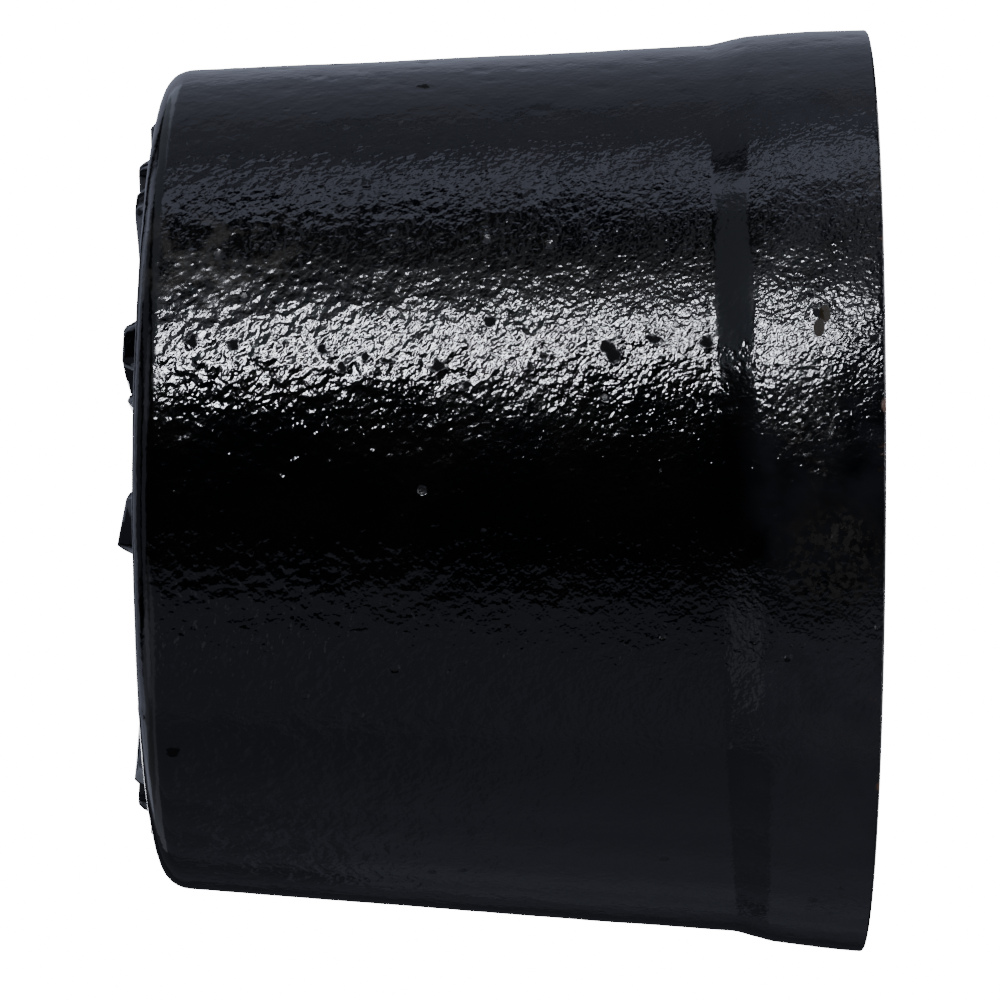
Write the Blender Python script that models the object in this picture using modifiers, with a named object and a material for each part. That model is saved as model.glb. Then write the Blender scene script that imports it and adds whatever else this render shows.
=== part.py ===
"""Threaded iron pipe cap, 1-1/4 inch taper pipe thread: one casting with a tapped socket.

Frame: metres, +Z up. The axis of the cap lies along X. The origin is on the axis in
the plane of the mouth; the socket opens towards +X and the closed head is towards -X.
Everything is turned or cut about a local Z axis and then laid over onto X.
"""

from math import cos, pi, radians, sin, sqrt, tan

import bmesh
import bpy
from mathutils import Matrix, Vector

MM = 0.001

# --- Outside of the casting --------------------------------------------------
CAP_LENGTH = 42.2 * MM  # mouth plane to head face
MOUTH_RADIUS = 28.0 * MM  # outside of the reinforcing band, at the mouth
BAND_ROOT_RADIUS = 27.5 * MM  # band where the ramp up from the body ends
BODY_RADIUS = 26.95 * MM  # body at the foot of that ramp
HEAD_RADIUS = 24.92 * MM  # body cone carried on to the plane of the head
RAMP_END = 6.4 * MM  # from the mouth plane
RAMP_START = 8.5 * MM  # from the mouth plane
HEAD_FILLET = 1.5 * MM  # rounding between body and head
MOUTH_EDGE = 0.35 * MM  # rounding of the band's outer edge

# --- Taper pipe thread, 1-1/4 inch, 11.5 threads to the inch ------------------
PITCH = 25.4 * MM / 11.5
PITCH_DIAMETER_AT_FACE = 40.218 * MM
THREAD_HEIGHT = 0.8 * PITCH
TAPER = 1 / 32  # radius lost per unit of depth, 1 in 16 on the diameter
THREAD_DEPTH = 20.0 * MM  # the last turns fade out here
FADE_TURNS = 1.25
ROOT_FLAT = 0.038 * PITCH
CREST_CUT = 0.1 * MM  # crests left this much short by the bore

# --- Socket -------------------------------------------------------------------
CHAMFER_RADIUS = 21.6 * MM  # mouth of the countersink
CHAMFER_DEPTH = 1.9 * MM
SOCKET_DEPTH = 27.5 * MM
SOCKET_RADIUS = 18.3 * MM  # as cast, below the thread
SOCKET_FILLET = 3.0 * MM

# --- Blank raised pads on the head, in two arcs --------------------------------
PAD_RING = 19.4 * MM
PAD_RADIAL = 5.8 * MM
PAD_DRAFT = 0.25 * MM  # each side leans in by this over the relief
PAD_ROOT = 1.2 * MM  # depth buried in the head
# Angle about the axis from -Y towards +Z, width, and how far the pad stands out at the
# side where the angle is smaller and at the other, in millimetres.
PADS = (
    (-61.0, 2.0, 0.95, 0.95),
    (-51.0, 3.0, 1.05, 0.55),
    (-5.5, 3.9, 1.20, 0.40),
    (12.8, 1.2, 0.55, 0.55),
    (21.4, 3.3, 0.92, 0.92),
    (48.6, 2.8, 0.78, 0.78),
    (58.0, 1.9, 0.92, 0.92),
) + tuple((angle, 3.4, 0.9, 0.9) for angle in (-83, -105, -127, 80, 102, 124, 146, 168))

# Flats around the casting and around each turn of the thread.
STEPS = 60

# Local +Z becomes world +X, and local -X becomes world +Z.
LAID_OVER = (0.0, pi / 2, 0.0)


def bore_radius(depth):
    """Radius over the crests of the thread, at this depth from the mouth."""
    return (PITCH_DIAMETER_AT_FACE - THREAD_HEIGHT) / 2 + CREST_CUT - depth * TAPER


def arc(centre, radius, start, end, steps):
    """Points on an arc in the (radius, height) plane, both ends included."""
    angles = [start + (end - start) * i / steps for i in range(steps + 1)]
    return [(centre[0] + radius * cos(a), centre[1] + radius * sin(a)) for a in angles]


def wire_object(name, points, collection, closed):
    """A chain of edges through (radius, height) points, in the local XZ plane."""
    edges = [(i, i + 1) for i in range(len(points) - 1)]
    if closed:
        edges.append((len(points) - 1, 0))
    mesh = bpy.data.meshes.new(name)
    mesh.from_pydata([(r, 0.0, z) for r, z in points], edges, [])
    obj = bpy.data.objects.new(name, mesh)
    obj.rotation_euler = LAID_OVER
    collection.objects.link(obj)
    return obj


def add_screw(obj, **settings):
    screw = obj.modifiers.new("turned", "SCREW")
    screw.axis = "Z"
    screw.angle = 2 * pi
    screw.steps = screw.render_steps = STEPS
    for name, value in settings.items():
        setattr(screw, name, value)


def evaluated_mesh(obj):
    bpy.context.view_layer.update()
    graph = bpy.context.evaluated_depsgraph_get()
    return bpy.data.meshes.new_from_object(obj.evaluated_get(graph))


def mark_as_cutter(obj):
    obj.hide_render = True
    obj.display_type = "WIRE"


def iron_material():
    """Cast iron under a glossy black asphalt dip."""
    material = bpy.data.materials.new("black_asphalt_on_cast_iron")
    material.use_nodes = True
    shader = material.node_tree.nodes["Principled BSDF"]
    shader.inputs["Base Color"].default_value = (0.012, 0.013, 0.016, 1.0)
    shader.inputs["Roughness"].default_value = 0.28
    shader.inputs["Metallic"].default_value = 0.0
    return material


def casting_profile():
    """The wall of the cap in the (radius, height) plane, from the middle of the socket's
    bottom, up its bore, over the mouth and down the outside to the middle of the head."""
    corner = (SOCKET_RADIUS - SOCKET_FILLET, -SOCKET_DEPTH + SOCKET_FILLET)
    bore_end = THREAD_DEPTH + 1.2 * MM
    points = [(0.0, -SOCKET_DEPTH)]
    points += arc(corner, SOCKET_FILLET, -pi / 2, 0.0, 3)
    points.append((SOCKET_RADIUS, -bore_end - 0.5 * MM))
    points.append((bore_radius(bore_end), -bore_end))
    points.append((bore_radius(CHAMFER_DEPTH), -CHAMFER_DEPTH))
    points.append((CHAMFER_RADIUS, 0.0))
    # The band's outer edge is rounded, and its side eases out towards the mouth.
    edge = (MOUTH_RADIUS - MOUTH_EDGE, -MOUTH_EDGE)
    points += arc(edge, MOUTH_EDGE, pi / 2, 0.0, 2)
    for share in (0.4, 0.7, 1.0):
        radius = MOUTH_RADIUS - (MOUTH_RADIUS - BAND_ROOT_RADIUS) * share**2
        points.append((radius, -MOUTH_EDGE - (RAMP_END - MOUTH_EDGE) * share))
    points.append((BODY_RADIUS, -RAMP_START))
    # The head's fillet is tangent to the body cone and to the head's face.
    slope = (BODY_RADIUS - HEAD_RADIUS) / (CAP_LENGTH - RAMP_START)
    centre_z = -CAP_LENGTH + HEAD_FILLET
    centre_r = HEAD_RADIUS + slope * HEAD_FILLET - HEAD_FILLET * sqrt(1 + slope**2)
    points += arc((centre_r, centre_z), HEAD_FILLET, -slope, -pi / 2, 4)
    points.append((0.0, -CAP_LENGTH))
    return points


def make_casting(collection):
    casting = wire_object("cap_casting", casting_profile(), collection, closed=False)
    add_screw(casting, use_merge_vertices=True, merge_threshold=0.00001)
    return casting


def make_thread_cutter(collection):
    """A ridge on a helix, 60 degrees between its flanks, which leans in with the taper
    and fades into the bore over its last turn. It starts outside the mouth, and its
    stations fall midway between the bore's, so that no edges lie along each other."""
    lead_in = 1.5 * PITCH
    turns = round((THREAD_DEPTH + lead_in) / PITCH)
    crest_line = (PITCH_DIAMETER_AT_FACE - THREAD_HEIGHT) / 2
    # Inside the bore the ridge stays narrower than a pitch, so that turns don't meet.
    knee_half = PITCH / 2 - 0.06 * MM
    knee = THREAD_HEIGHT - (knee_half - ROOT_FLAT / 2) / tan(radians(30))
    side = [
        (crest_line + THREAD_HEIGHT, ROOT_FLAT / 2),
        (crest_line + knee, knee_half),
        (crest_line - 1.0 * MM, knee_half),
    ]
    section = side + [(r, -z) for r, z in reversed(side)]
    cutter = wire_object("thread_cutter", section, collection, closed=True)
    # Rising as it turns about +Z makes the helix right hand.
    add_screw(cutter, screw_offset=PITCH, iterations=turns, use_merge_vertices=False)
    cutter.data = evaluated_mesh(cutter)
    cutter.modifiers.clear()

    work = bmesh.new()
    work.from_mesh(cutter.data)
    bmesh.ops.holes_fill(work, edges=[e for e in work.edges if e.is_boundary])
    fade_start = THREAD_DEPTH - FADE_TURNS * PITCH
    half_step = Matrix.Rotation(pi / STEPS, 3, "Z")
    for vert in work.verts:
        vert.co.rotate(half_step)
        vert.co.z += lead_in - turns * PITCH
        depth = -vert.co.z
        radius = Vector((vert.co.x, vert.co.y)).length
        fade = max(0.0, depth - fade_start) / (THREAD_DEPTH - fade_start)
        lean = depth * TAPER + 1.08 * THREAD_HEIGHT * min(fade, 1.4) ** 1.5
        vert.co.x *= (radius - lean) / radius
        vert.co.y *= (radius - lean) / radius
    bmesh.ops.recalc_face_normals(work, faces=work.faces)
    if work.calc_volume(signed=True) < 0:
        bmesh.ops.reverse_faces(work, faces=work.faces)
    work.to_mesh(cutter.data)
    work.free()
    mark_as_cutter(cutter)
    return cutter


def make_pads(collection):
    """Blank blocks with drafted sides, standing on the head and buried in it a little."""
    work = bmesh.new()
    for angle, wide, low_side, high_side in PADS:
        made = bmesh.ops.create_cube(work, size=1.0)["verts"]
        for vert in made:
            proud = vert.co.z < 0  # local -Z is out of the head
            # Local +Y is the side where the angle is smaller.
            relief = (low_side if vert.co.y > 0 else high_side) * MM
            lean = PAD_DRAFT if proud else 0.0
            vert.co.x = PAD_RING + vert.co.x * (PAD_RADIAL - 2 * lean)
            vert.co.y *= wide * MM - 2 * lean
            vert.co.z = -CAP_LENGTH + (-relief if proud else PAD_ROOT)
        # Local +X is world -Z, so a quarter turn back puts the start of the angles on -Y.
        turn = Matrix.Rotation(-pi / 2 - radians(angle), 4, "Z")
        bmesh.ops.transform(work, matrix=turn, verts=made)
    bmesh.ops.recalc_face_normals(work, faces=work.faces)
    mesh = bpy.data.meshes.new("head_pads")
    work.to_mesh(mesh)
    work.free()
    pads = bpy.data.objects.new("head_pads", mesh)
    pads.rotation_euler = LAID_OVER
    collection.objects.link(pads)
    bevel = pads.modifiers.new("soft_edges", "BEVEL")
    bevel.width = 0.2 * MM
    bevel.segments = 1
    mark_as_cutter(pads)
    return pads


def add_boolean(obj, name, operation, other):
    boolean = obj.modifiers.new(name, "BOOLEAN")
    boolean.operation = operation
    boolean.solver = "EXACT"
    boolean.object = other


def main():
    for obj in list(bpy.data.objects):
        bpy.data.objects.remove(obj, do_unlink=True)
    scene = bpy.context.scene
    scene.unit_settings.system = "METRIC"
    scene.unit_settings.scale_length = 1.0
    parts = bpy.data.collections.new("pipe_cap")
    cutters = bpy.data.collections.new("pipe_cap_cutters")
    scene.collection.children.link(parts)
    scene.collection.children.link(cutters)

    casting = make_casting(parts)
    add_boolean(casting, "pads", "UNION", make_pads(cutters))
    add_boolean(casting, "thread", "DIFFERENCE", make_thread_cutter(cutters))
    casting.data = evaluated_mesh(casting)
    casting.modifiers.clear()
    casting.data.materials.clear()
    casting.data.materials.append(iron_material())
    casting.data.shade_smooth()
    casting.data.set_sharp_from_angle(angle=radians(32))


main()
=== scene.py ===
"""Looks of the threaded iron pipe cap: the casting's cast and machined surfaces in fine
mesh, its coating and iron as procedural materials, a pale floor and soft studio light."""

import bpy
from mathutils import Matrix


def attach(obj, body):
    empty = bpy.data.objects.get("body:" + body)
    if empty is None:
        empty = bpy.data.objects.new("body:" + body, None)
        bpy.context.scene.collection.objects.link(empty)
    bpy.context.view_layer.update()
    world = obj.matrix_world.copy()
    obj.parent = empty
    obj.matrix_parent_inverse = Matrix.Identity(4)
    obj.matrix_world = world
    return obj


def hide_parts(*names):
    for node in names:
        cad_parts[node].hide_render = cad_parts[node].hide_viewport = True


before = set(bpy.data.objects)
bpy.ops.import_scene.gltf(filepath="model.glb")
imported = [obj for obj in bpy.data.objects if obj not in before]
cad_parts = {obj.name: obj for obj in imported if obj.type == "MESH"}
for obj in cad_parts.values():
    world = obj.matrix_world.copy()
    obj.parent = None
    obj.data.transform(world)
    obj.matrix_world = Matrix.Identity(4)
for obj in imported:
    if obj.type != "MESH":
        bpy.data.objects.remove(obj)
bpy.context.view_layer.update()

import math

import bpy
import numpy as np
from mathutils import Matrix, Vector

MM = 0.001

# ---------------------------------------------------------------------------
# Sizes, in millimetres, as in the CAD model
# ---------------------------------------------------------------------------
LENGTH = 42.2
MOUTH_R = 28.0
BAND_ROOT_R = 27.5
BODY_R = 26.95
HEAD_R = 24.92
RAMP_END = 6.4
RAMP_START = 8.5
HEAD_FILLET = 1.5
MOUTH_EDGE = 0.18
PITCH = 25.4 / 11.5
THREAD_H = 0.8 * PITCH
PITCH_R = 40.218 / 2
TAPER = 1 / 32
THREAD_DEPTH = 20.0
FADE_TURNS = 1.25
CREST_CUT = 0.1
ROOT_FLAT = 0.038 * PITCH
CHAMFER_R = 21.6
CHAMFER_DEPTH = 1.9
BORE_END = THREAD_DEPTH + 1.2
SOCKET_DEPTH = 27.5
SOCKET_R = 18.3
SOCKET_FILLET = 3.0
PAD_RING, PAD_RADIAL = 19.4, 5.8
# Angle, width, and how far the pad stands out at its low and its high angle
PADS = (
    (-61.0, 2.0, 0.95, 0.95),
    (-51.0, 3.0, 1.05, 0.55),
    (-5.5, 3.9, 1.20, 0.40),
    (12.8, 1.2, 0.55, 0.55),
    (21.4, 3.3, 0.92, 0.92),
    (48.6, 2.8, 0.78, 0.78),
    (58.0, 1.9, 0.92, 0.92),
) + tuple((angle, 3.4, 0.9, 0.9) for angle in (-83, -105, -127, 80, 102, 124, 146, 168))
PAD_MOST = 1.2

COLS = 512  # round the outside; the bore has half as many
BODY_LEAN = 0.53 / LENGTH  # the cast outside rises this much towards the head
RAMP_SKEW = 0.93  # the ramp lies further from the mouth at the top
RAMP_SWAY = 0.62  # and at the front
FILLET_LONG, FILLET_DEEP = 1.4, 1.2  # the head's corner, along the side and across the head
TAN30 = math.tan(math.radians(30))


# ---------------------------------------------------------------------------
# Noise on points, in numpy, the same every run
# ---------------------------------------------------------------------------
def hash3(i, j, k, seed):
    h = (i * 374761393 + j * 668265263 + k * 2147483647 + seed * 1274126177) & 0xFFFFFFFF
    h = ((h ^ (h >> 13)) * 1274126177) & 0xFFFFFFFF
    h = ((h ^ (h >> 16)) * 2246822519) & 0xFFFFFFFF
    return (h ^ (h >> 15)) & 0xFFFFFFFF


def perlin(p, seed=0):
    """Gradient noise at points p (n, 3), about -1 to 1."""
    base = np.floor(p).astype(np.int64)
    f = p - base
    u = f * f * f * (f * (f * 6 - 15) + 10)
    total = np.zeros(len(p))
    for di in (0, 1):
        wx = u[:, 0] if di else 1 - u[:, 0]
        for dj in (0, 1):
            wy = u[:, 1] if dj else 1 - u[:, 1]
            for dk in (0, 1):
                wz = u[:, 2] if dk else 1 - u[:, 2]
                h = hash3(base[:, 0] + di, base[:, 1] + dj, base[:, 2] + dk, seed)
                a = (h & 0xFFFF) / 65536.0 * 2 * math.pi
                z = ((h >> 16) & 0xFFFF) / 32768.0 - 1.0
                s = np.sqrt(np.maximum(0.0, 1 - z * z))
                dot = (
                    s * np.cos(a) * (f[:, 0] - di)
                    + s * np.sin(a) * (f[:, 1] - dj)
                    + z * (f[:, 2] - dk)
                )
                total += wx * wy * wz * dot
    return total * 1.5


def fractal(p, octaves, seed):
    total, size = np.zeros(len(p)), 1.0
    for octave in range(octaves):
        total += size * perlin(p * 2.03**octave + 17.1 * octave, seed + octave)
        size *= 0.5
    return total


def smooth(t):
    t = np.clip(t, 0.0, 1.0)
    return t * t * (3 - 2 * t)


# ---------------------------------------------------------------------------
# The casting as one closed mesh, laid ring by ring
# ---------------------------------------------------------------------------
def outer_radius(x):
    """Turned radius of the outside at x (0 at the mouth, negative towards the head)."""
    d = -np.asarray(x, float)
    body = BODY_R + (HEAD_R - BODY_R) * (d - RAMP_START) / (LENGTH - RAMP_START)
    share = np.clip(d / RAMP_END, 0, None)
    band = MOUTH_R - (MOUTH_R - BAND_ROOT_R) * (0.45 * share + 0.55 * share**2)
    ramp = BAND_ROOT_R + (BODY_R - BAND_ROOT_R) * (d - RAMP_END) / (RAMP_START - RAMP_END)
    return np.where(d < RAMP_END, band, np.where(d < RAMP_START, ramp, body))


# The ramp's two corners are soft, so the profile is blurred over about a millimetre.
TABLE_X = np.linspace(-LENGTH - 3, 3, 4801)
_table = outer_radius(np.minimum(TABLE_X, 0))
_kernel = np.exp(-0.5 * (np.arange(-90, 91) * (TABLE_X[1] - TABLE_X[0]) / 0.16) ** 2)
_kernel /= _kernel.sum()
_blurred = np.convolve(np.pad(_table, 90, mode="edge"), _kernel, mode="valid")
_mix = smooth((-TABLE_X - 2.0) / 2.5) * smooth((TABLE_X + LENGTH - 1.0) / 3.0)
TABLE_R = _table * (1 - _mix) + _blurred * _mix


def bore_radius(d):
    return PITCH_R - THREAD_H / 2 + CREST_CUT - d * TAPER


def thread_radius(x, t):
    """Radius of the bore's wall, with its right-hand thread, run-out and chamfer."""
    d = -x
    phase = (d / PITCH - t / (2 * math.pi) + 0.2417 + 0.5) % 1.0 - 0.5
    start = THREAD_DEPTH - FADE_TURNS * PITCH
    fade = np.clip((d - start) / (THREAD_DEPTH - start), 0, 1.4)
    reach = THREAD_H - np.maximum(0, np.abs(phase) * PITCH - ROOT_FLAT / 2) / TAN30
    crest = PITCH_R - THREAD_H / 2 - d * TAPER
    groove = crest + reach - 1.08 * THREAD_H * fade**1.5
    wall = np.maximum(groove, crest + CREST_CUT)
    edge = CHAMFER_R + (bore_radius(CHAMFER_DEPTH) - CHAMFER_R) * d / CHAMFER_DEPTH
    # A soft corner where the chamfer meets the thread.
    soft = 0.07
    over = np.clip(0.5 + (edge - wall) / (2 * soft), 0, 1)
    return np.where(
        d < 4, wall * (1 - over) + edge * over + soft * over * (1 - over), wall
    )


def steps(a, b, size):
    n = max(1, int(math.ceil(abs(b - a) / size - 1e-9)))
    return a + (b - a) * np.arange(n + 1) / n


def angles(n):
    return np.arange(n) * 2 * math.pi / n


class Rings:
    """Vertices laid ring by ring as (x, radius, angle), and the faces between rings.
    Angle 0 faces -Y and turns to +Z."""

    def __init__(self):
        self.rings, self.faces, self.zones, self.count = [], [], [], 0
        self.zone = 0

    def add(self, x, r, n):
        t = angles(n)
        x, r = np.broadcast_to(x, n), np.broadcast_to(r, n)
        self.rings.append(np.stack([x, r, t], 1))
        self.count += n
        return np.arange(self.count - n, self.count)

    def put(self, faces):
        self.faces.extend(tuple(int(v) for v in f) for f in faces)
        self.zones.extend([self.zone] * len(faces))

    def quads(self, a, b):
        self.put(np.stack([a, np.roll(a, -1), np.roll(b, -1), b], 1))

    def halve(self, a, b):
        """Joins ring a to ring b, which has half as many points."""
        a0, a1, a2, b2 = a[::2], a[1::2], np.roll(a[::2], -1), np.roll(b, -1)
        self.put(np.stack([a0, a1, b], 1))
        self.put(np.stack([a1, b2, b], 1))
        self.put(np.stack([a1, a2, b2], 1))

    def fan(self, a):
        centre = self.add(self.rings[-1][0, 0], 0.0, 1)[0]
        self.put(np.stack([a, np.roll(a, -1), np.full(len(a), centre)], 1))

    def inward(self, last, x, radii_by_halving):
        """Rings at x, in to the middle; each (radius, size) after the first halves them."""
        n = len(last)
        r0 = float(self.rings[-1][0, 1])
        for turn, (low, size) in enumerate(radii_by_halving):
            radii = steps(r0, low, size)[1:]
            for i, r in enumerate(radii):
                if turn and i == 0:
                    n //= 2
                    new = self.add(x, r, n)
                    self.halve(last, new)
                else:
                    new = self.add(x, r, n)
                    self.quads(last, new)
                last = new
            r0 = low
        self.fan(last)


CAST, FACE, THREAD, SOCKET = range(4)


def build_rings():
    """Every face's corners run the same way round, so that one turn faces them all out."""
    g = Rings()
    t = angles(COLS)
    slope = (BODY_R - HEAD_R) / (LENGTH - RAMP_START)

    # Outside, from the mouth's corner over the band, the ramp and the body to the head
    g.zone = CAST
    outside = []
    for a in np.linspace(0, math.pi / 2, 5):
        outside.append(
            g.add(-MOUTH_EDGE + MOUTH_EDGE * math.cos(a), MOUTH_R - MOUTH_EDGE + MOUTH_EDGE * math.sin(a), COLS)
        )
    along = np.concatenate([
        steps(-MOUTH_EDGE, -4.6, 0.34)[1:],
        steps(-4.6, -10.4, 0.17)[1:],
        steps(-10.4, -LENGTH + FILLET_LONG, 0.34)[1:],
    ])
    for x in along:
        w = smooth((17.0 + x) / 6.0) * smooth(-x / 4.0)
        shift = RAMP_SKEW * np.sin(t) + RAMP_SWAY * np.cos(t)
        outside.append(g.add(x, np.interp(x + shift * w, TABLE_X, TABLE_R), COLS))
    start = outer_radius(-LENGTH + FILLET_LONG)
    for a in np.linspace(0, math.pi / 2, 13)[1:]:
        x = -LENGTH + FILLET_LONG * (1 - math.sin(a))
        r = start - slope * FILLET_LONG * math.sin(a) - FILLET_DEEP * (1 - math.cos(a))
        outside.append(g.add(x, r, COLS))
    for a, b in zip(outside, outside[1:]):
        g.quads(b, a)

    # Head
    before = len(g.faces)
    g.inward(outside[-1], -LENGTH, ((14.6, 0.26), (8.0, 0.42), (3.4, 0.7), (1.0, 0.9)))
    g.faces[before:] = [f[::-1] for f in g.faces[before:]]

    # Mouth face, in from the outer corner to the chamfer
    g.zone = FACE
    n = COLS // 2
    last = outside[0]
    r0 = MOUTH_R - MOUTH_EDGE
    for r in steps(r0, r0 - 0.9, 0.3)[1:]:
        new = g.add(0.0, r, COLS)
        g.quads(last, new)
        last = new
    for i, r in enumerate(steps(r0 - 1.3, CHAMFER_R, 0.55)):
        new = g.add(0.0, r, n)
        if i == 0:
            g.halve(last, new)
        else:
            g.quads(last, new)
        last = new

    # Bore: each row follows the helix, and rows run together at the mouth and at the end
    g.zone = THREAD
    crest = (ROOT_FLAT / 2 + (THREAD_H - CREST_CUT) * TAN30) / PITCH
    root = ROOT_FLAT / 2 / PITCH
    flank = [root + (crest - root) * k / 4 for k in range(5)]
    phases = [-root] + flank + [1 - p for p in flank[:0:-1]]
    per = len(phases)
    theta = angles(n)
    first = None
    rows = []
    k_end = int(math.ceil(BORE_END / PITCH)) + 1
    for k in range(-2, k_end):
        for p in phases:
            d = (k + p - 0.2417 + 1) * PITCH + PITCH * theta / (2 * math.pi)
            rows.append(np.clip(d, 0.0, BORE_END))
    rows = np.array(rows)
    index = np.zeros(rows.shape, int)
    grid = []
    for row, d in enumerate(rows):
        x = -d
        r = thread_radius(x, theta)
        ids = g.add(x, r, n)
        index[row] = ids
    # Rows held at the mouth are the chamfer's ring; rows held at the end are one ring.
    for row in range(len(rows)):
        held = rows[row] <= 0
        index[row][held] = last[held]
    final = index[-1].copy()
    for row in range(len(rows)):
        held = rows[row] >= BORE_END
        index[row][held] = final[held]
    many = len(rows)
    ahead = np.array([index[min(row + per, many - 1), 0] for row in range(many)])
    for row in range(many - 1):
        a = np.append(index[row], ahead[row])
        b = np.append(index[row + 1], ahead[row + 1])
        quads = np.stack([a[:-1], a[1:], b[1:], b[:-1]], 1)
        keep = [f for f in quads if len(set(f.tolist())) > 2]
        faces = []
        for f in keep:
            f = [int(v) for v in f]
            out = [v for i, v in enumerate(f) if v != f[i - 1]]
            if len(set(out)) == len(out) and len(out) > 2:
                faces.append(out)
        g.faces.extend(tuple(f) for f in faces)
        g.zones.extend([g.zone] * len(faces))
    last = final

    # Socket below the thread, as cast
    g.zone = SOCKET
    profile = [(BORE_END + 0.12, bore_radius(BORE_END) - 0.12), (BORE_END + 0.35, SOCKET_R + 0.06), (BORE_END + 0.6, SOCKET_R)]
    profile += [(d, SOCKET_R) for d in steps(BORE_END + 0.6, SOCKET_DEPTH - SOCKET_FILLET, 0.5)[1:]]
    for a in np.linspace(0, math.pi / 2, 10)[1:]:
        profile.append(
            (SOCKET_DEPTH - SOCKET_FILLET + SOCKET_FILLET * math.sin(a), SOCKET_R - SOCKET_FILLET + SOCKET_FILLET * math.cos(a))
        )
    for d, r in profile:
        new = g.add(-d, r, n)
        g.quads(last, new)
        last = new
    g.inward(last, -SOCKET_DEPTH, ((9.5, 0.5), (4.5, 0.8), (1.5, 1.0)))
    return g


def pad_height(y, z):
    """Height of the blank pads over the head, from their plan."""
    height = np.zeros(len(y))
    radius, turn = np.hypot(y, z), np.arctan2(z, -y)
    for angle, wide, low, high in PADS:
        off = (turn - math.radians(angle) + math.pi) % (2 * math.pi) - math.pi
        u, v = radius * np.cos(off) - PAD_RING, radius * np.sin(off)
        corner = min(0.7, 0.45 * wide)
        qx = np.abs(u) - PAD_RADIAL / 2 + corner
        qy = np.abs(v) - wide / 2 + corner
        away = np.hypot(np.maximum(qx, 0), np.maximum(qy, 0)) + np.minimum(np.maximum(qx, qy), 0) - corner
        top = (low + high) / 2 + (high - low) / 2 * np.clip(v / (wide / 2), -1, 1)
        height = np.where(np.abs(off) < 0.5, np.maximum(height, top * smooth((0.12 - away) / 0.72)), height)
    return height


# Pits and nodules in the cast skin: (x, angle, radius, depth), depth below 0 stands proud.
LARGER_PITS = (
    (-38.85, 19.0, 0.42, 0.055),
    (-36.45, 18.4, 0.38, 0.045),
    (-31.35, 17.7, 0.40, 0.045),
    (-28.95, 16.7, 0.36, 0.045),
    (-27.75, 16.4, 0.34, 0.040),
    (-15.35, 17.7, 0.52, 0.060),
    (-12.95, 19.0, 0.42, 0.045),
    (-9.95, 18.4, 0.44, 0.050),
    (-3.75, 21.6, 0.40, 0.045),
    (-0.75, 18.6, 0.34, 0.030),
    (-42.0, -32.5, 0.34, 0.050),
    (-40.2, -37.5, 0.40, 0.060),
    (-26.4, 65.5, 0.36, 0.050),
    (-24.9, 15.6, 0.38, 0.060),
    (-23.4, 13.2, 0.34, 0.050),
    (-18.95, 16.9, 0.34, 0.050),
    (-30.3, 15.4, 0.36, 0.050),
    (-22.1, 21.5, 0.38, 0.060),
    (-4.2, 24.1, 0.34, 0.050),
    (-15.1, 16.9, 0.44, 0.060),
)


def skin_marks():
    rng = np.random.default_rng(20413)
    marks = [(x, math.radians(turn), r, depth) for x, turn, r, depth in LARGER_PITS]
    for _ in range(80):
        marks.append((rng.uniform(-40, -1.2), rng.uniform(0, 2 * math.pi), rng.uniform(0.32, 0.5), rng.uniform(0.010, 0.032)))
    for _ in range(90):
        marks.append((rng.uniform(-40.5, -1.0), rng.uniform(0.9, 2 * math.pi), rng.uniform(0.32, 0.5), -rng.uniform(0.01, 0.026)))
    # The top is rougher, with beads of coat that stand on it.
    for _ in range(95):
        marks.append((rng.uniform(-37, -0.9), math.radians(rng.normal(82, 15)), rng.uniform(0.28, 0.46), -rng.uniform(0.035, 0.085)))
    return marks


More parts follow.
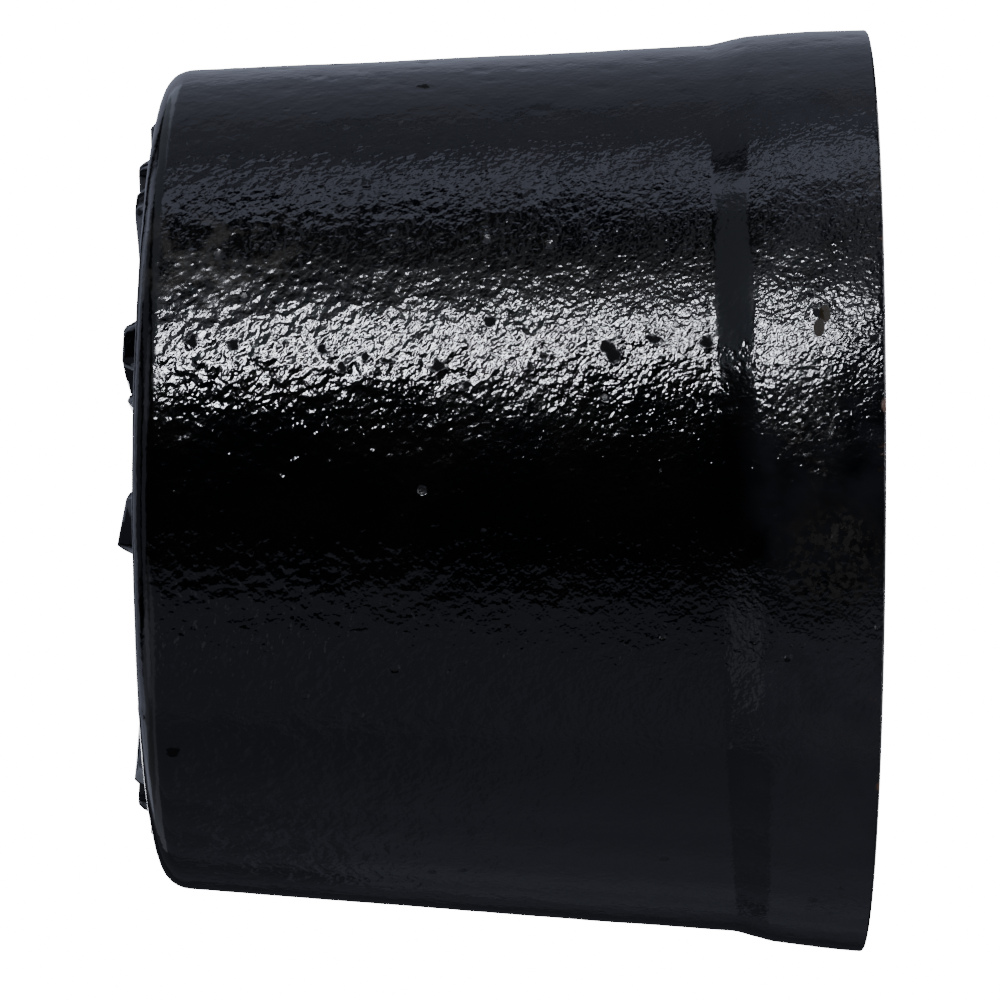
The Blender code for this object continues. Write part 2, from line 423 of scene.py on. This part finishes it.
def finish_points(g):
    """Moves the turned rings to the cast shape: lean, skin, pads, pits."""
    cyl = np.concatenate(g.rings)
    x, r, t = cyl.T
    p = np.stack([x, -r * np.cos(t), r * np.sin(t)], 1)
    zone = np.full(len(p), -1)
    for f, z in zip(g.faces, g.zones):
        for v in f:
            if zone[v] < 0:
                zone[v] = z
    # Normals of the turned shape
    tri = []
    for f in g.faces:
        tri.append(f[:3])
        if len(f) == 4:
            tri.append((f[0], f[2], f[3]))
    tri = np.array(tri)
    fn = np.cross(p[tri[:, 1]] - p[tri[:, 0]], p[tri[:, 2]] - p[tri[:, 0]])
    normal = np.zeros_like(p)
    for c in range(3):
        np.add.at(normal, tri[:, c], fn)
    normal /= np.maximum(np.linalg.norm(normal, axis=1), 1e-12)[:, None]

    cast = zone == CAST
    on_head = cast & (x < -LENGTH + 1e-6)
    coarse = smooth((-x - 4) / 32)  # thicker, rounder coating towards the head
    skin = 0.030 * fractal(p / 11.0, 2, 3)
    skin += 0.013 * fractal(p / 3.2 + 40, 2, 11)
    skin += 0.008 * perlin(p / 1.9 + 60, 29)
    skin += (0.006 + 0.004 * coarse) * perlin(p / 1.2 + 9, 23)
    calm = smooth(-x / 0.9)  # the mouth's corner is crisp
    move = np.where(cast, skin * (0.15 + 0.85 * calm), 0)
    move = np.where(zone == FACE, 0.006 * perlin(p / 4.0, 31), move)
    deep = smooth((-x - BORE_END) / 1.0)
    move = np.where(zone == SOCKET, deep * (0.09 * fractal(p / 4.5, 3, 41) + 0.03 * perlin(p / 1.1, 47)), move)

    side = cast & ~on_head
    sx, st, sr = x[side], t[side], r[side]
    bump = np.zeros(side.sum())
    for mx, mt, mr, depth in skin_marks():
        off = (st - mt + math.pi) % (2 * math.pi) - math.pi
        d2 = (sx - mx) ** 2 + (off * sr) ** 2
        near = d2 < (2.2 * mr) ** 2
        q = d2[near] / mr**2
        shape = np.exp(-1.6 * q)
        if depth > 0:
            shape = shape - 0.10 * np.exp(-2.2 * (np.sqrt(q) - 1.3) ** 2)
        bump[near] -= depth * shape
    move[side] += bump * calm[side]

    p += normal * move[:, None]
    p[:, 0] -= np.where(on_head, pad_height(p[:, 1], p[:, 2]), 0)
    # Keep within the turned envelope
    limit = MOUTH_R - 0.004
    rr = np.hypot(p[:, 1], p[:, 2])
    squeeze = np.where(cast & (rr > limit), limit / np.maximum(rr, 1e-9), 1)
    p[:, 1] *= squeeze
    p[:, 2] *= squeeze
    p[:, 0] = np.clip(p[:, 0], -LENGTH - PAD_MOST, 0.0)
    # The outside leans; the bore, cut later in the machine, stays true.
    p[:, 2] += np.where(cast, -x * BODY_LEAN, 0)
    p[:, 1:] = np.clip(p[:, 1:], -MOUTH_R + 0.001, MOUTH_R - 0.001)
    return p, zone


def make_cap():
    g = build_rings()
    p, zone = finish_points(g)
    used = np.zeros(len(p), bool)
    for f in g.faces:
        used[list(f)] = True
    new = np.cumsum(used) - 1
    mesh = bpy.data.meshes.new("cap_casting_skin")
    # Corners are taken in reverse, so that the surface faces out of the iron.
    mesh.from_pydata((p[used] * MM).tolist(), [], [tuple(int(new[v]) for v in f[::-1]) for f in g.faces])
    mesh.update()
    mesh.polygons.foreach_set("material_index", np.array(g.zones, np.int32))
    mesh.shade_smooth()
    # Where the coat has pooled and lies smooth: in the hollow below the band, and on the head
    x, y, z = p[used].T
    round_axis = np.arctan2(z, -y)
    d = -x - (RAMP_SKEW * np.sin(round_axis) + RAMP_SWAY * np.cos(round_axis))
    turn = np.degrees(round_axis)
    hollow = smooth((d - 6.0) / 0.7) * smooth((8.9 - d) / 0.7)
    hollow *= 0.25 + 0.75 * smooth((58 - turn) / 14) * smooth((turn + 16) / 10)
    hollow *= 1 - 0.42 * smooth((23 - turn) / 9)
    corner = smooth((-x - (LENGTH - 2.3)) / 1.6)
    pooled = np.maximum(hollow, corner) * ((zone[used] == CAST) & (x <= 0))
    mesh.attributes.new("pooled", "FLOAT", "POINT").data.foreach_set("value", pooled.astype(np.float32))
    # Above and below, the coat ran thicker and left the sand's grain fainter.
    calm = 1 - smooth((60 - turn) / 16) * smooth((turn + 34) / 16)
    mesh.attributes.new("calm", "FLOAT", "POINT").data.foreach_set("value", calm.astype(np.float32))
    # The larger pits are dull inside, and their specular is turned down as painted shade for the pits' self-shadow.
    dull_and_pit_shade = np.zeros(len(x))
    for mx, mt, mr, _ in LARGER_PITS:
        reach, rise = float(outer_radius(mx)), -mx * BODY_LEAN
        away = (x - mx) ** 2 + (y + reach * math.cos(math.radians(mt))) ** 2 + (z - rise - reach * math.sin(math.radians(mt))) ** 2
        dull_and_pit_shade = np.maximum(dull_and_pit_shade, np.exp(-0.9 * away / mr**2))
    mesh.attributes.new("dull_and_pit_shade", "FLOAT", "POINT").data.foreach_set("value", dull_and_pit_shade.astype(np.float32))
    obj = bpy.data.objects.new("cap_casting_skin", mesh)
    bpy.context.scene.collection.objects.link(obj)
    mesh.set_sharp_from_angle(angle=math.radians(38))
    return obj


# ---------------------------------------------------------------------------
# Materials
# ---------------------------------------------------------------------------
class Nodes:
    """A short way to write a node tree."""

    def __init__(self, material):
        material.use_nodes = True
        self.tree = material.node_tree
        self.tree.nodes.clear()

    def add(self, kind, inputs=None, **settings):
        node = self.tree.nodes.new(kind)
        for name, value in settings.items():
            setattr(node, name, value)
        for name, value in (inputs or {}).items():
            socket = node.inputs[name]
            if isinstance(value, bpy.types.NodeSocket):
                self.tree.links.new(value, socket)
            else:
                socket.default_value = value
        return node

    def maths(self, operation, a, b=0.0, c=0.0, clamp=False):
        node = self.add("ShaderNodeMath", {0: a, 1: b, 2: c}, operation=operation)
        node.use_clamp = clamp
        return node.outputs[0]

    def ramp(self, value, low, high, to_low=0.0, to_high=1.0):
        return self.add(
            "ShaderNodeMapRange",
            {"Value": value, "From Min": low, "From Max": high, "To Min": to_low, "To Max": to_high},
            interpolation_type="SMOOTHSTEP",
        ).outputs["Result"]

    def noise(self, vector, size_mm, detail=2.0, rough=0.5, **more):
        return self.add(
            "ShaderNodeTexNoise",
            {"Vector": vector, "Scale": 1000.0 / size_mm, "Detail": detail, "Roughness": rough, **more},
        ).outputs["Fac"]

    def mix(self, fac, a, b):
        node = self.add("ShaderNodeMix", data_type="RGBA")
        for name, value in (("Factor", fac), ("A", a), ("B", b)):
            socket = [s for s in node.inputs if s.name == name and s.enabled][0]
            if isinstance(value, bpy.types.NodeSocket):
                self.tree.links.new(value, socket)
            else:
                socket.default_value = value
        return [s for s in node.outputs if s.enabled][0]

    def bump(self, height, distance_mm, normal=None, strength=1.0):
        inputs = {"Height": height, "Distance": distance_mm * MM, "Strength": strength}
        if normal is not None:
            inputs["Normal"] = normal
        return self.add("ShaderNodeBump", inputs).outputs["Normal"]

    def finish(self, **inputs):
        shader = self.add("ShaderNodeBsdfPrincipled", inputs)
        out = self.add("ShaderNodeOutputMaterial", {"Surface": shader.outputs[0]})
        return shader, out


def coating_material():
    """Glossy black asphalt over a sand-cast skin: rounder and thicker towards the head,
    fine and grainy towards the mouth, pitted, dusty and worn brown at the mouth's edge."""
    material = bpy.data.materials.new("black_asphalt_coating")
    n = Nodes(material)
    where = n.add("ShaderNodeTexCoord").outputs["Object"]
    xyz = n.add("ShaderNodeSeparateXYZ", {"Vector": where})
    x = xyz.outputs["X"]
    headward = n.ramp(x, -0.006, -0.036)  # 0 at the mouth, 1 at the head

    pooled = n.add("ShaderNodeAttribute", attribute_name="pooled").outputs["Fac"]
    uneven = n.noise(where, 0.8, 3.0, 0.65)
    ragged = n.maths("MULTIPLY_ADD", uneven, 1.9, n.maths("SUBTRACT", pooled, 0.95))
    pooled = n.ramp(ragged, 0.25, 0.75)
    calm = n.add("ShaderNodeAttribute", attribute_name="calm").outputs["Fac"]
    dull_and_pit_shade = n.add("ShaderNodeAttribute", attribute_name="dull_and_pit_shade").outputs["Fac"]
    dull_and_pit_shade = n.ramp(n.maths("MULTIPLY_ADD", n.noise(where, 0.7, 3.0, 0.7), 1.7, dull_and_pit_shade), 1.22, 1.50)

    # The sand's grain, rounded over by the coat: larger beads where the coat is thick.
    # It ran a little as it dried, so beads are longer one way.
    y, z = xyz.outputs["Y"], xyz.outputs["Z"]
    uphill = n.maths("MULTIPLY", n.maths("ADD", x, z), 0.77)
    across = n.maths("MULTIPLY", n.maths("SUBTRACT", z, x), 0.86)
    drawn = n.add("ShaderNodeCombineXYZ", {"X": uphill, "Y": y, "Z": across}).outputs[0]
    roll = n.noise(drawn, 2.3, 1.0, 0.5)
    swell = n.noise(drawn, 1.25, 1.0, 0.5)
    beads = n.noise(drawn, 0.64, 1.0, 0.4, Distortion=0.3)
    grain = n.noise(drawn, 0.34, 1.0, 0.5, Distortion=0.2)
    dust = n.noise(drawn, 0.19, 0.0)
    height = n.maths("MULTIPLY", beads, n.maths("MULTIPLY_ADD", headward, 1.15, 0.25))
    height = n.maths("MULTIPLY_ADD", grain, n.maths("MULTIPLY_ADD", headward, -0.45, 0.95), height)
    height = n.maths("MULTIPLY_ADD", dust, n.maths("MULTIPLY_ADD", headward, -0.07, 0.12), height)
    height = n.maths("MULTIPLY_ADD", swell, n.maths("MULTIPLY_ADD", headward, 0.6, 0.75), height)
    height = n.maths("MULTIPLY_ADD", roll, 1.6, height)
    # Measured from its mean, so that it can fade without a step
    height = n.maths("SUBTRACT", height, n.maths("MULTIPLY_ADD", headward, 0.615, 1.835))

    # Pin holes: few, uneven, of mixed size
    bent = n.add("ShaderNodeVectorMath", {0: n.add("ShaderNodeTexNoise", {"Vector": where, "Scale": 1600.0, "Detail": 1.0}).outputs["Color"], "Scale": 0.00022}, operation="SCALE").outputs[0]
    bent = n.add("ShaderNodeVectorMath", {0: where, 1: bent}, operation="ADD").outputs[0]
    cells = n.add("ShaderNodeTexVoronoi", {"Vector": bent, "Scale": 1000 / 1.7, "Randomness": 1.0})
    chance = n.add("ShaderNodeSeparateColor", {"Color": cells.outputs["Color"]})
    size = n.maths("MULTIPLY", n.ramp(chance.outputs[0], 0.62, 1.0), 0.19)
    depth = n.maths("SUBTRACT", size, cells.outputs["Distance"])
    pit = n.ramp(depth, -0.03, 0.09)
    height = n.maths("MULTIPLY_ADD", pit, -1.3, height)
    # Grit: small beads standing proud
    grit_cells = n.add("ShaderNodeTexVoronoi", {"Vector": where, "Scale": 1000 / 0.62, "Randomness": 1.0})
    grit_chance = n.add("ShaderNodeSeparateColor", {"Color": grit_cells.outputs["Color"]})
    grit_size = n.maths("MULTIPLY", n.ramp(grit_chance.outputs[0], 0.60, 1.0), 0.26)
    grit = n.ramp(n.maths("SUBTRACT", grit_size, grit_cells.outputs["Distance"]), -0.08, 0.16)
    height = n.maths("MULTIPLY_ADD", grit, 0.36, height)
    height = n.maths("MULTIPLY", height, n.maths("MULTIPLY_ADD", pooled, -0.78, 1.0))
    height = n.maths("MULTIPLY", height, n.maths("MULTIPLY_ADD", calm, -0.62, 1.0))
    normal = n.bump(height, 0.051)

    patch = n.ramp(n.noise(where, 5.0, 2.0), 0.38, 0.62)
    rough = n.ramp(n.noise(where, 9.0, 3.0), 0.3, 0.7, 0.075, 0.125)
    rough = n.maths("MULTIPLY_ADD", pit, 0.25, rough)
    rough = n.maths("MULTIPLY_ADD", patch, 0.02, rough)
    rough = n.maths("MULTIPLY_ADD", dull_and_pit_shade, 0.75, rough)

    colour = n.mix(patch, (0.0012, 0.0014, 0.0020, 1), (0.0022, 0.0021, 0.0021, 1))
    colour = n.mix(pit, colour, (0.004, 0.0034, 0.0028, 1))
    # The band's coat is thinner and a little greyer
    thin = n.ramp(x, -0.0086, -0.0062)
    colour = n.mix(n.maths("MULTIPLY", thin, n.ramp(n.noise(where, 2.6, 3.0, 0.6), 0.25, 0.65)), colour, (0.0085, 0.009, 0.0105, 1))
    # Foundry dust held in the grain near the mouth
    dusty = n.maths("MULTIPLY", n.ramp(x, -0.0085, -0.002), n.ramp(n.noise(where, 6.5, 3.0, 0.6), 0.50, 0.66), clamp=True)
    dusty = n.maths("MULTIPLY", dusty, n.ramp(n.noise(where, 0.33, 2.0, 0.6), 0.40, 0.66))
    colour = n.mix(dusty, colour, (0.011, 0.009, 0.007, 1))
    # and where it has settled low on the band
    spot = n.add("ShaderNodeVectorMath", {0: where, 1: (-0.0028, -0.0277, -0.0034)}, operation="DISTANCE").outputs["Value"]
    settled = n.maths("MULTIPLY", n.ramp(spot, 0.0044, 0.0014), n.ramp(n.noise(where, 0.45, 3.0, 0.65), 0.40, 0.60))
    dusty = n.maths("MAXIMUM", dusty, settled)
    colour = n.mix(settled, colour, (0.011, 0.0095, 0.0075, 1))
    rough = n.maths("MULTIPLY_ADD", dusty, 0.25, rough)
    # Brown where the coat is thin: in clouds high on the head's side, and in one slot on the band
    def near(point, reach_mm, stretch=(1, 1, 1)):
        off = n.add("ShaderNodeVectorMath", {0: where, 1: [c * MM for c in point]}, operation="SUBTRACT").outputs[0]
        off = n.add("ShaderNodeVectorMath", {0: off, 1: stretch}, operation="MULTIPLY").outputs[0]
        gap = n.add("ShaderNodeVectorMath", {0: off}, operation="LENGTH").outputs["Value"]
        return n.ramp(gap, reach_mm * MM, reach_mm * 0.4 * MM)

    cloud = n.maths("MULTIPLY", near((-38.0, -21.3, 13.4), 4.6, (0.62, 1, 1)), n.ramp(n.noise(where, 1.6, 3.0, 0.6), 0.46, 0.60))
    colour = n.mix(cloud, colour, (0.013, 0.0115, 0.0095, 1))
    rough = n.maths("MULTIPLY_ADD", cloud, 0.10, rough)
    slot = n.maths("MAXIMUM", near((-3.36, -25.75, 10.20), 0.80, (1.7, 1, 1)), near((-3.70, -26.05, 9.45), 0.80, (1.7, 1, 1)))
    slot = n.maths("MULTIPLY_ADD", uneven, 0.7, n.maths("SUBTRACT", slot, 0.35))
    slot = n.ramp(slot, 0.38, 0.62)
    colour = n.mix(slot, colour, (0.016, 0.011, 0.005, 1))
    rough = n.maths("MULTIPLY_ADD", slot, 0.70, rough)
    # Rust specks at the mouth's corner
    edge = n.ramp(x, -0.0016, -0.0001)
    speck = n.ramp(n.noise(where, 1.9, 3.0, 0.6), 0.63, 0.72)
    rust = n.maths("MULTIPLY", edge, speck, clamp=True)
    for turn, reach in ((10.7, 0.52), (-35.6, 0.45)):
        at = (-0.1, -27.9 * math.cos(math.radians(turn)), 27.9 * math.sin(math.radians(turn)))
        rust = n.maths("MAXIMUM", rust, n.maths("MULTIPLY", near(at, reach, (2.0, 1, 1)), 0.9))
    colour = n.mix(rust, colour, (0.075, 0.028, 0.010, 1))
    rough = n.maths("MULTIPLY_ADD", rust, 0.45, rough, clamp=True)
    # Lower specular in the larger pits: painted shade standing in for the shadow inside them; the added roughness
    # above is their real dullness.
    specular_with_pit_shade = n.maths("MULTIPLY_ADD", dull_and_pit_shade, -0.36, 0.5)
    n.finish(**{"Base Color": colour, "Roughness": rough, "Specular IOR Level": specular_with_pit_shade, "Normal": normal, "IOR": 1.55})
    return material


def face_material():
    """The faced rim: turned rings under a thin smear of coating, rust where it is bare."""
    material = bpy.data.materials.new("faced_rim")
    n = Nodes(material)
    where = n.add("ShaderNodeTexCoord").outputs["Object"]
    xyz = n.add("ShaderNodeSeparateXYZ", {"Vector": where})
    y, z = xyz.outputs["Y"], xyz.outputs["Z"]
    radius = n.maths("SQRT", n.maths("ADD", n.maths("MULTIPLY", y, y), n.maths("MULTIPLY", z, z)))
    wobble = n.maths("MULTIPLY_ADD", n.noise(where, 12.0, 2.0), 0.00035, radius)
    turned = n.maths("SINE", n.maths("MULTIPLY", wobble, 2 * math.pi / 0.00028))
    tool = n.add(
        "ShaderNodeTexNoise",
        {"W": n.maths("MULTIPLY", wobble, 4200.0), "Scale": 1.0, "Detail": 3.0},
        noise_dimensions="1D",
    ).outputs["Fac"]
    height = n.maths("MULTIPLY_ADD", tool, 1.6, n.maths("MULTIPLY", turned, 0.16))
    height = n.maths("MULTIPLY_ADD", n.noise(where, 0.5, 2.0), 0.9, height)
    normal = n.bump(height, 0.018)
    smear = n.ramp(n.noise(where, 3.2, 4.0, 0.6), 0.40, 0.56)
    speck = n.ramp(n.noise(where, 1.5, 4.0, 0.65), 0.57, 0.68)
    colour = n.mix(smear, (0.060, 0.056, 0.052, 1), (0.0045, 0.0045, 0.005, 1))
    colour = n.mix(speck, colour, (0.085, 0.034, 0.013, 1))
    rough = n.ramp(smear, 0, 1, 0.42, 0.24)
    rough = n.maths("MULTIPLY_ADD", speck, 0.35, rough, clamp=True)
    metal = n.maths("MULTIPLY", n.maths("SUBTRACT", 1.0, smear), n.maths("SUBTRACT", 1.0, speck), clamp=True)
    metal = n.maths("MULTIPLY", metal, 0.9)
    n.finish(**{"Base Color": colour, "Roughness": rough, "Metallic": metal, "Normal": normal})
    return material


def thread_material():
    """Cut iron, dark with oil and coating that ran into the roots."""
    material = bpy.data.materials.new("cut_thread")
    n = Nodes(material)
    where = n.add("ShaderNodeTexCoord").outputs["Object"]
    xyz = n.add("ShaderNodeSeparateXYZ", {"Vector": where})
    x, y, z = (xyz.outputs[c] for c in "XYZ")
    radius = n.maths("SQRT", n.maths("ADD", n.maths("MULTIPLY", y, y), n.maths("MULTIPLY", z, z)))
    # How far above the roots: the crests stand at small radius, and the cone narrows inwards
    crest_line = n.maths("MULTIPLY_ADD", x, TAPER, (PITCH_R - THREAD_H / 2) * MM)
    depth = n.maths("DIVIDE", n.maths("SUBTRACT", radius, crest_line), THREAD_H * MM)
    root = n.ramp(depth, 0.45, 0.95)
    grime = n.ramp(n.noise(where, 2.4, 4.0, 0.6), 0.36, 0.62)
    dark = n.maths("MAXIMUM", root, n.maths("MULTIPLY", grime, 0.75))
    speck = n.ramp(n.noise(where, 1.7, 4.0, 0.65), 0.58, 0.70)
    colour = n.mix(dark, (0.115, 0.108, 0.100, 1), (0.010, 0.010, 0.011, 1))
    colour = n.mix(n.maths("MULTIPLY", speck, 0.8), colour, (0.10, 0.045, 0.018, 1))
    rough = n.ramp(dark, 0, 1, 0.34, 0.22)
    rough = n.maths("MULTIPLY_ADD", speck, 0.30, rough, clamp=True)
    metal = n.maths("MULTIPLY_ADD", dark, -0.75, 0.95, clamp=True)
    metal = n.maths("MULTIPLY", metal, n.maths("SUBTRACT", 1.0, speck), clamp=True)
    chatter = n.noise(where, 0.45, 2.0)
    normal = n.bump(chatter, 0.02)
    n.finish(**{"Base Color": colour, "Roughness": rough, "Metallic": metal, "Normal": normal})
    return material


def socket_material():
    """The cored socket below the thread, rough from the sand core, with a thin coat."""
    material = bpy.data.materials.new("cored_socket")
    n = Nodes(material)
    where = n.add("ShaderNodeTexCoord").outputs["Object"]
    grain = n.noise(where, 0.55, 3.0, 0.6)
    lumps = n.noise(where, 1.6, 3.0, 0.5)
    normal = n.bump(n.maths("MULTIPLY_ADD", grain, 0.6, lumps), 0.16)
    patch = n.ramp(n.noise(where, 4.0, 3.0), 0.42, 0.60)
    colour = n.mix(patch, (0.005, 0.005, 0.0055, 1), (0.016, 0.012, 0.009, 1))
    rough = n.ramp(patch, 0, 1, 0.26, 0.50)
    n.finish(**{"Base Color": colour, "Roughness": rough, "Normal": normal})
    return material


# ---------------------------------------------------------------------------
# The piece
# ---------------------------------------------------------------------------
cap = make_cap()
for material in (coating_material(), face_material(), thread_material(), socket_material()):
    cap.data.materials.append(material)
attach(cap, "root")
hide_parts("cap_casting")

# ---------------------------------------------------------------------------
# Floor, light, camera
# ---------------------------------------------------------------------------
floor_mesh = bpy.data.meshes.new("floor")
reach = 6.0
floor_mesh.from_pydata(
    [(-reach, -reach, 0), (reach, -reach, 0), (reach, reach, 0), (-reach, reach, 0)], [], [(0, 1, 2, 3)]
)
floor = bpy.data.objects.new("floor", floor_mesh)
floor.location.z = -MOUTH_R * MM
bpy.context.scene.collection.objects.link(floor)
n = Nodes(bpy.data.materials.new("pale_floor"))
pale = n.add("ShaderNodeBsdfDiffuse", {"Color": (0.86, 0.86, 0.86, 1)})
glow = n.add("ShaderNodeEmission", {"Color": (1, 1, 1, 1), "Strength": 16.5})
n.add("ShaderNodeOutputMaterial", {"Surface": n.add("ShaderNodeAddShader", {0: pale.outputs[0], 1: glow.outputs[0]}).outputs[0]})
floor_mesh.materials.append(bpy.data.materials["pale_floor"])
floor.visible_glossy = False
floor.visible_diffuse = False

world = bpy.data.worlds.new("studio")
bpy.context.scene.world = world
n = Nodes(world)
path = n.add("ShaderNodeLightPath")
seen = n.add("ShaderNodeBackground", {"Color": (1, 1, 1, 1), "Strength": 17.0})
dim = n.add("ShaderNodeBackground", {"Color": (1, 1, 1, 1), "Strength": 0.0})
both = n.add("ShaderNodeMixShader", {0: path.outputs["Is Camera Ray"], 1: dim.outputs[0], 2: seen.outputs[0]})
n.add("ShaderNodeOutputWorld", {"Surface": both.outputs[0]})

AIM = Vector((-0.021, 0.0, 0.0))


def panel(name, alpha, lean, wide, high, radiance, tint=(1, 1, 1), roll=0.0, distance=0.8):
    """A soft panel facing the cap. alpha is its angle round the cap's axis from the camera
    side (-Y) over the top, and lean its angle towards the mouth (+X). wide and high are the
    angles it fills along and round the axis, and radiance its brightness whatever its size."""
    a, b, c = math.radians(alpha), math.radians(lean), math.radians(roll)
    way = Vector((math.sin(b), -math.cos(a) * math.cos(b), math.sin(a) * math.cos(b)))
    along = Vector((math.cos(b), math.cos(a) * math.sin(b), -math.sin(a) * math.sin(b)))
    around = Vector((0, math.sin(a), math.cos(a)))
    side, rise = along * math.cos(c) + around * math.sin(c), around * math.cos(c) - along * math.sin(c)
    light = bpy.data.lights.new(name, "AREA")
    light.shape = "RECTANGLE"
    light.size = 2 * distance * math.tan(math.radians(wide / 2))
    light.size_y = 2 * distance * math.tan(math.radians(high / 2))
    light.energy = radiance * math.pi * light.size * light.size_y
    light.color = tint
    obj = bpy.data.objects.new(name, light)
    place = Matrix((side, rise, way)).transposed().to_4x4()
    place.translation = AIM + way * distance
    obj.matrix_world = place
    obj.visible_camera = False
    bpy.context.scene.collection.objects.link(obj)
    return obj


COOL = (0.87, 0.93, 1.2)
PALE = (0.95, 0.98, 1.07)
# The main lamp: a slanting strip, brightest along its lower edge and at the head's end
panel("strip_hot", 36.4, -9.5, 20, 1.35, 135.0, PALE, roll=53, distance=0.78)
panel("strip_mid", 37.8, -9.5, 20, 3.5, 4.6, PALE, roll=53)
panel("strip_low", 39.7, -9.5, 21, 6.0, 0.85, PALE, roll=53, distance=0.82)
panel("strip_head", 34.2, -15.0, 6, 3.0, 56.0, PALE, distance=0.76)
panel("mouth_hot", 38.6, -0.5, 10, 2.4, 25.0, PALE, roll=-12, distance=0.78)
panel("mouth_mid", 40.0, -0.5, 10, 6.2, 2.4, PALE, roll=-12)
panel("mouth_low", 43.0, -0.5, 11, 13, 0.95, PALE, distance=0.82)
panel("strip_haze", 44.5, -4, 28, 20, 0.33, PALE, roll=14, distance=0.85)
panel("strip_spill", 61, -1, 30, 12, 0.24, (0.96, 0.99, 1.05), roll=38)
panel("above_front", 77, 5, 16, 18, 0.27, COOL)
panel("above", 86.5, -3, 32, 12.5, 0.90, COOL, roll=20)
panel("above_back", 102.5, -3, 34, 19, 0.25, COOL)
panel("back", 130, -3, 34, 34, 0.27, COOL)
panel("behind", 166, -6, 60, 38, 0.335, COOL)
panel("below_front", -46.5, -6, 60, 39, 0.215, COOL)
panel("below", -82, -6, 60, 32, 0.178, COOL)
panel("below_2", -106, -6, 60, 16, 0.142, COOL)
panel("below_3", -122, -8, 56, 16, 0.106, COOL)
panel("below_4", -140, -10, 54, 20, 0.055, COOL)
panel("below_5", -162, -10, 54, 24, 0.024, COOL)
panel("below_mouth", -92, 3, 24, 100, 0.050, COOL)
panel("side_tall", 88, -29, 22, 118, 0.30, (0.86, 0.96, 1.16))
panel("side_low", -86, -45, 32, 92, 0.19, (0.92, 0.97, 1.10))
panel("end_side", 180, -72, 22, 70, 0.45, COOL)
# Dim panels round both ends and behind, which the camera sees only in the head's corner
panel("head_end", 0, -89.9, 34, 34, 0.13, COOL)
for alpha, radiance in ((-12, 0.23), (78, 0.20), (168, 0.50), (-102, 0.15)):
    panel("head_ring_%d" % alpha, alpha, -57, 17, 84, radiance, COOL)
panel("mouth_end", 0, 89.9, 40, 40, 0.8, PALE)
for alpha, radiance in ((-10, 0.9), (80, 1.7), (170, 1.1), (-100, 0.55)):
    panel("mouth_ring_%d" % alpha, alpha, 58, 42, 84, radiance, PALE)
panel("behind_strip", 186.6, -8, 46, 3.4, 8.0, PALE)

# The camera stands level, a little above the axis and towards the mouth.
SCALE = 28.0 / 458.0  # millimetres to a picture unit at the axis
F = 4761.9
camera_data = bpy.data.cameras.new("camera")
camera_data.sensor_width = 36.0
camera_data.lens = 36.0 * F / 1000.0
camera_data.clip_start = 0.01
camera_data.clip_end = 20.0
camera = bpy.data.objects.new("camera", camera_data)
bpy.context.scene.collection.objects.link(camera)
yaw, pitch, roll = -0.0276, -0.0191, -0.0036
turn = Matrix(((math.cos(yaw), -math.sin(yaw), 0), (math.sin(yaw), math.cos(yaw), 0), (0, 0, 1)))
nod = Matrix(((1, 0, 0), (0, math.cos(pitch), math.sin(pitch)), (0, -math.sin(pitch), math.cos(pitch))))
tilt = Matrix(((math.cos(roll), 0, -math.sin(roll)), (0, 1, 0), (math.sin(roll), 0, math.cos(roll))))
rows = tilt @ nod @ turn  # rows: right, forward, up
right, forward, up = rows[0], rows[1], rows[2]
place = Matrix((right, up, -forward)).transposed().to_4x4()
place.translation = Vector(((120.77 - 351.0) * SCALE, -F * SCALE, 72.3 * SCALE + 0.486)) * MM
camera.matrix_world = place
bpy.context.scene.camera = camera
